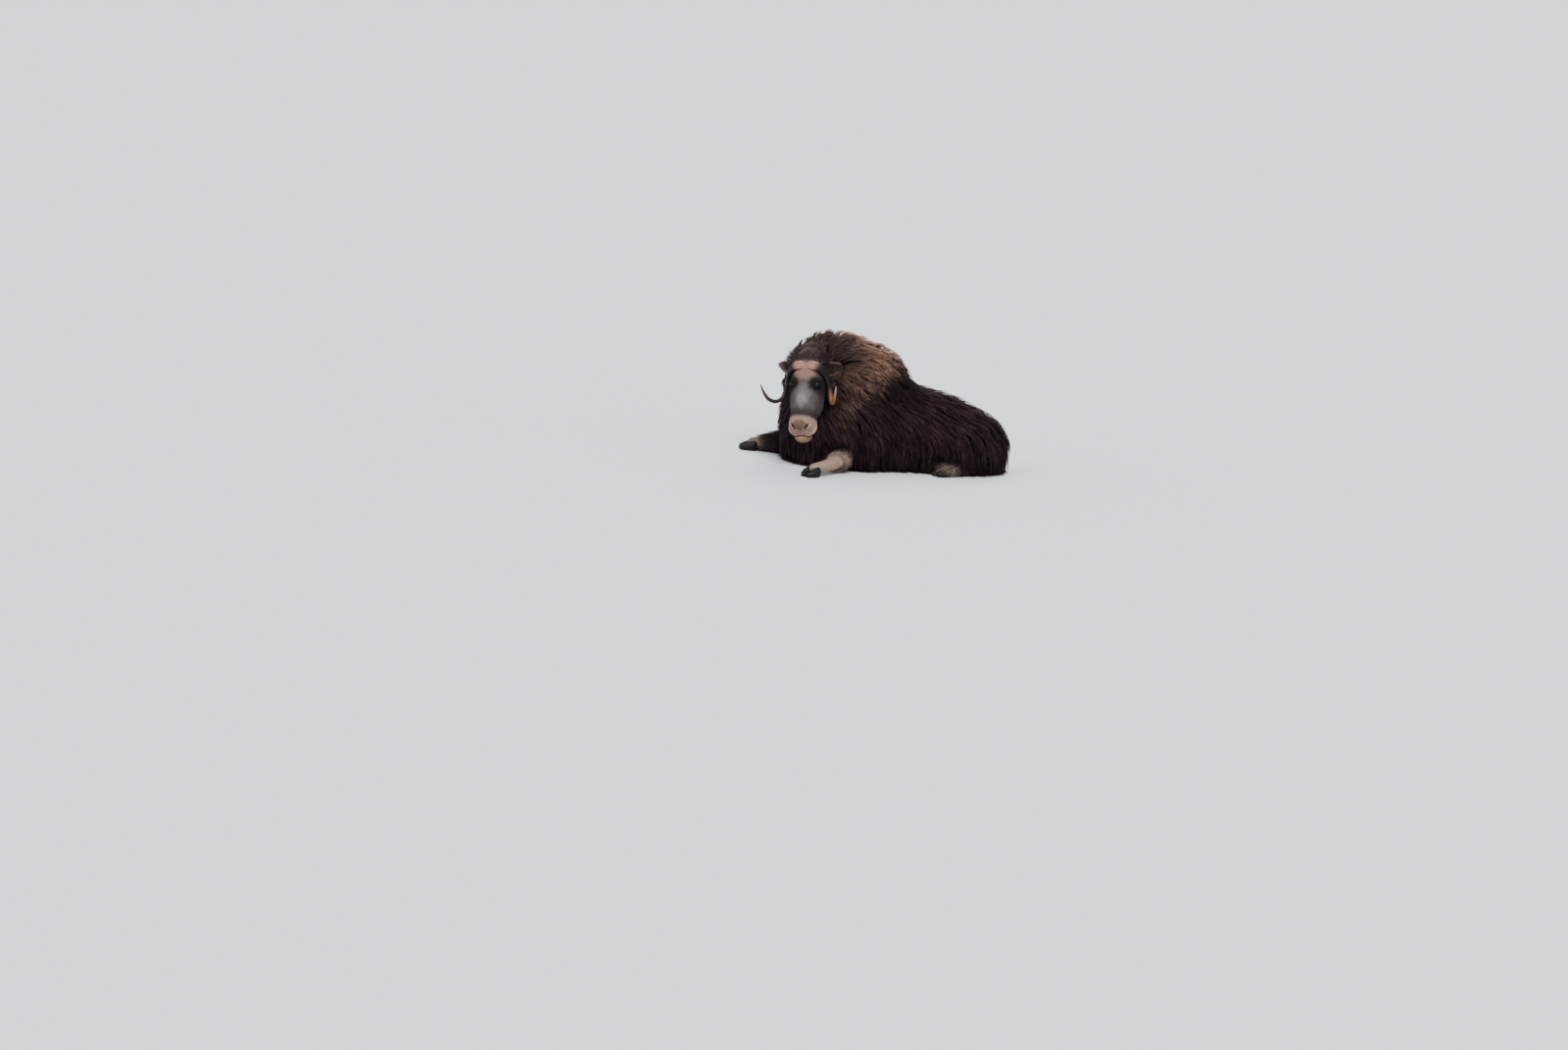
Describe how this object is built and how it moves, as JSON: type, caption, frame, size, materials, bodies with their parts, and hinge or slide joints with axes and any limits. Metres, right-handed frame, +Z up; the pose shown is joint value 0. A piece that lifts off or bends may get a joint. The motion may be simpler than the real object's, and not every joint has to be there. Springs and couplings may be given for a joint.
{
  "type": "muskox",
  "caption": "Life-size muskox cow at rest: lying on its chest, forelegs stretched forward, head turned left, curved horns, high shoulder hump and a long shaggy coat that reaches the floor.",
  "frame": {"origin": "on the floor, under the middle of the bounding box", "axes": "+X along the body towards the chest, +Y to the animal's left, +Z up"},
  "size_m": [1.6686, 0.9542, 0.7901],
  "materials": {
    "coat": "long, soft, very dark brown guard hair with reddish streaks",
    "mane": "frizzy tawny mane over the shoulders, dark behind the head",
    "face_hair": "short flat grey-brown face hair, pale forehead and muzzle",
    "ear_hair": "short dark hair with a paler rim",
    "stocking": "short pale tan hair of the lower legs",
    "horn": "fibrous horn, grey-brown, paler towards the tip",
    "hoof": "dark worn hoof horn",
    "eye": "wet dark brown eye"
  },
  "bodies": {
    "root": {"head": "face_hair", "eye_left": "eye", "horn_left": "horn", "ear_left": "ear_hair", "eye_right": "eye", "horn_right": "horn", "ear_right": "ear_hair", "neck": "mane", "torso": "coat", "hindquarters": "coat", "tail": "coat", "foreleg_left": "stocking", "foreleg_right": "stocking", "hindleg_left": "stocking", "hindleg_right": "stocking", "hoof_foreleg_left_inner": "hoof", "hoof_foreleg_left_outer": "hoof", "hoof_foreleg_right_inner": "hoof", "hoof_foreleg_right_outer": "hoof", "hoof_hindleg_left_inner": "hoof", "hoof_hindleg_left_outer": "hoof", "hoof_hindleg_right_inner": "hoof", "hoof_hindleg_right_outer": "hoof"}
  },
  "joints": []
}
